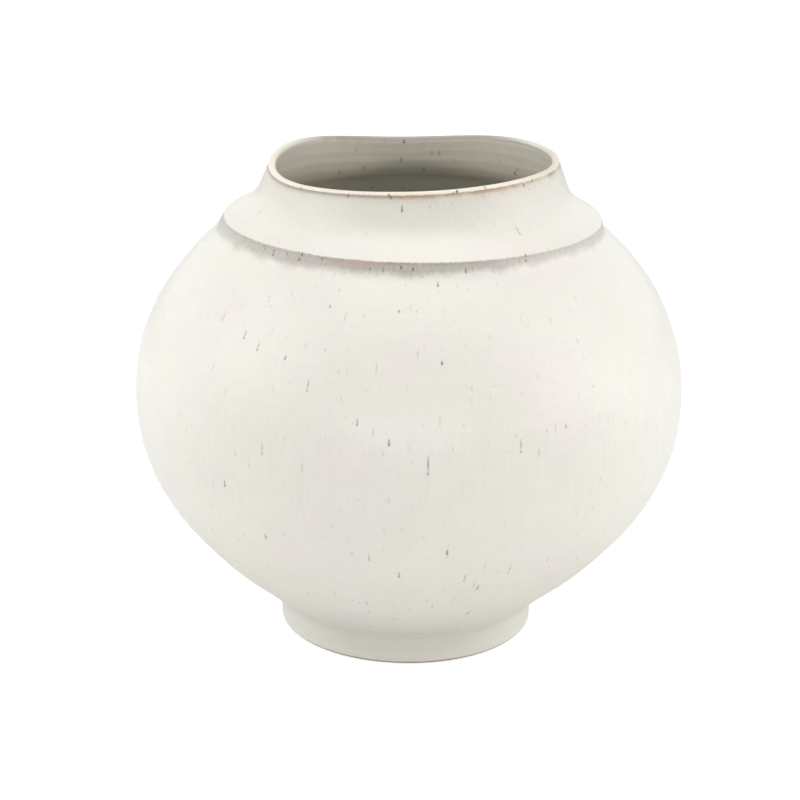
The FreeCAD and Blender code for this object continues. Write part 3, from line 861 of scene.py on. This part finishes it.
class JAR_OT_collar_coat(bpy.types.Operator):
    """Turns the coat of glaze on the collar, with its edge band and wavy lip"""
    bl_idname = "jar.collar_coat"
    bl_label = "Collar coat"

    def execute(self, context):
        s = context.scene.jar_sizes
        line = collar_line(s)
        whole = line_length(line)
        top = max(range(len(line)), key=lambda i: line[i].z)
        crest = line_length(line[:top + 1])
        edge = band_slope(s) / mm
        bm, along = turned(line, set_in(line, s.coat, s.lining)[::-back_step], collar_steps)

        def depth_at(run, angle, level):
            # Ragged at the band's edge, with a bead at the lip, a groove under it, and throwing rings inside
            depth = 0.08 * noise.noise(around(angle, 3, run / 9))
            depth += 0.16 * near(run, edge, 1.1) * noise.noise(around(angle, 42, 0.5))
            depth += 0.22 * near(run, edge, 1.6) * noise.noise(around(angle, 9, 3.5))
            depth += bead_depth * near(run, crest - 0.9, 1.4)
            depth -= groove_depth * near(run, crest - 3.0, 1.5)
            if run > crest + 4:
                depth += 0.07 * math.sin(math.tau * run / inner_ring_pitch + 2 * noise.noise(around(angle, 1, 0)))
            return depth * min(1, run / 3, (whole - run) / 4)

        press(bm, along, depth_at)
        # The lean starts at the band's foot, and the lip's wave at its edge
        band_top = s.shoulder_height + s.slip + s.band_height
        lip = s.shoulder_height + s.collar_height - s.lip_thickness / 2
        for vertex in bm.verts:
            angle = math.atan2(vertex.co.y, vertex.co.x)
            swell = sum(c * math.cos(n * angle) + d * math.sin(n * angle)
                        for n, (c, d) in enumerate(lip_swell_shares, 1))
            share = min(1, max(0, (vertex.co.z - band_top) / (lip - band_top)))
            lean = min(1, max(0, (vertex.co.z - band_top + s.band_height) / s.band_height))
            vertex.co += Vector((s.collar_shift * lean, 0, s.lip_wave * swell * share))
        marks = {name: found_marks(bm, pixels) for name, pixels in collar_marks.items()}
        finish = collar_glaze(context.scene.jar_colours, marks, s.belly_diameter / 2 / mm, edge, crest)
        piece(context, bm, "collar_coat", finish, "collar_glaze")
        return {"FINISHED"}


class JAR_OT_lining_coat(bpy.types.Operator):
    """Turns the coat of glaze inside the bowls"""
    bl_idname = "jar.lining_coat"
    bl_label = "Lining coat"

    def execute(self, context):
        s = context.scene.jar_sizes
        line = lining_line(s)
        whole = line_length(line)
        back = set_in(line, -s.lining, -s.lining)[::-back_step]
        back[-1] = at(0, line[0].z - s.lining)
        bm, along = turned(line, back, lining_steps)

        def depth_at(run, angle, level):
            # Throwing rings and slow lumps, kept off the clay, and fuller just under the collar
            depth = inner_ring_depth * math.sin(
                math.tau * run / inner_ring_pitch + angle + 2 * noise.noise(around(angle, 1, run / 60)))
            depth += lump_depth * noise.noise(around(angle, 2, run / 30))
            return max(depth, -0.2) * min(1, run / 8, (whole - run) / 5) + 0.2 * near(whole - run, 7, 6)

        press(bm, along, depth_at)
        finish = lining_glaze(context.scene.jar_colours, s.belly_diameter / 2 / mm, whole)
        piece(context, bm, "lining_coat", finish, "lining_glaze")
        return {"FINISHED"}


class JAR_OT_clay(bpy.types.Operator):
    """Gives the packed clay and slip their fired finishes"""
    bl_idname = "jar.clay"
    bl_label = "Clay and slip"

    def execute(self, context):
        colours = context.scene.jar_colours
        for finish, names in ((bare_clay(colours), ("foot_ring", "lower_bowl", "upper_bowl", "neck_collar")),
                              (joint_slip(colours), ("foot_slip", "belly_slip", "collar_slip"))):
            for name in names:
                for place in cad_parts[name].material_slots:
                    place.material = finish
        return {"FINISHED"}


class JAR_OT_studio(bpy.types.Operator):
    """Sets the floor, the soft lights, the world and the photograph's camera"""
    bl_idname = "jar.studio"
    bl_label = "Studio"

    def execute(self, context):
        scene = context.scene
        bm = bmesh.new()
        bmesh.ops.create_grid(bm, x_segments=1, y_segments=1, size=6)
        mesh = bpy.data.meshes.new("studio_floor")
        bm.to_mesh(mesh)
        bm.free()
        material, tree = new_material("studio_paper")
        # The paper glows to the camera alone, so that it comes out almost white and keeps the jar's shadow
        seen = add(tree, "LightPath").node.outputs
        glow = add(tree, "Math", {0: seen["Is Camera Ray"], 1: paper_glow}, operation="MULTIPLY")
        glow = add(tree, "Emission", {"Color": scene.jar_colours.floor, "Strength": glow})
        paper = add(tree, "BsdfDiffuse", {"Color": scene.jar_colours.floor})
        add(tree, "OutputMaterial", {"Surface": add(tree, "AddShader", {0: paper, 1: glow})})
        mesh.materials.append(material)
        floor = bpy.data.objects.new("studio_floor", mesh)
        scene.collection.objects.link(floor)

        # White to the eye and in reflections, and dimmer as a light
        world = bpy.data.worlds.new("studio_air")
        world.use_nodes = True
        tree = world.node_tree
        tree.nodes.clear()
        seen = add(tree, "LightPath").node.outputs
        eye = seen["Is Camera Ray"]
        for ray in (seen["Is Transmission Ray"], seen["Is Glossy Ray"]):
            eye = add(tree, "Math", {0: eye, 1: ray}, operation="MAXIMUM")
        soft, white = (add(tree, "Background", {"Color": (1, 1, 1, 1), "Strength": strength})
                       for strength in (air_light, 1))
        add(tree, "OutputWorld", {"Surface": add(tree, "MixShader", {0: eye, 1: soft, 2: white})})
        scene.world = world

        for name, (place, size, power) in lamps.items():
            behind = name.startswith("back")
            light = bpy.data.lights.new(name, "AREA")
            light.shape = "RECTANGLE"
            light.size, light.size_y = size
            light.energy = power
            light.color = cool_light if behind else (1, 1, 1)
            lamp = bpy.data.objects.new(name, light)
            lamp.location = place
            lamp.rotation_euler = (lamp_target - Vector(place)).to_track_quat("-Z", "Y").to_euler()
            lamp.visible_glossy = not behind
            scene.collection.objects.link(lamp)

        right, up, forward = camera_axes()
        lens = bpy.data.cameras.new("camera")
        lens.lens = focal_pixels / image_width * lens.sensor_width
        camera = bpy.data.objects.new("camera", lens)
        camera.matrix_world = (Matrix.Translation(camera_place)
                               @ Matrix((right, up, -forward)).transposed().to_4x4())
        scene.collection.objects.link(camera)
        scene.camera = camera
        scene.view_settings.view_transform = "Standard"
        return {"FINISHED"}


class JAR_PT_panel(bpy.types.Panel):
    """Lists the jar's sizes, colours and makers"""
    bl_label = "Moon jar"
    bl_idname = "JAR_PT_panel"
    bl_space_type = "VIEW_3D"
    bl_region_type = "UI"
    bl_category = "Moon jar"

    def draw(self, context):
        for group in (context.scene.jar_sizes, context.scene.jar_colours):
            for name in group.__annotations__:
                self.layout.prop(group, name)
        for operator in makers:
            self.layout.operator(operator.bl_idname)


makers = (JAR_OT_body_coat, JAR_OT_collar_coat, JAR_OT_lining_coat, JAR_OT_clay, JAR_OT_studio)
classes = (JarSizes, JarColours) + makers + (JAR_PT_panel,)


def register():
    for cls in classes:
        bpy.utils.register_class(cls)
    bpy.types.Scene.jar_sizes = bpy.props.PointerProperty(type=JarSizes)
    bpy.types.Scene.jar_colours = bpy.props.PointerProperty(type=JarColours)


def unregister():
    del bpy.types.Scene.jar_colours
    del bpy.types.Scene.jar_sizes
    for cls in reversed(classes):
        bpy.utils.unregister_class(cls)


def main():
    register()
    bpy.ops.jar.body_coat()
    bpy.ops.jar.collar_coat()
    bpy.ops.jar.lining_coat()
    bpy.ops.jar.clay()
    bpy.ops.jar.studio()


if __name__ == "__main__":
    main()
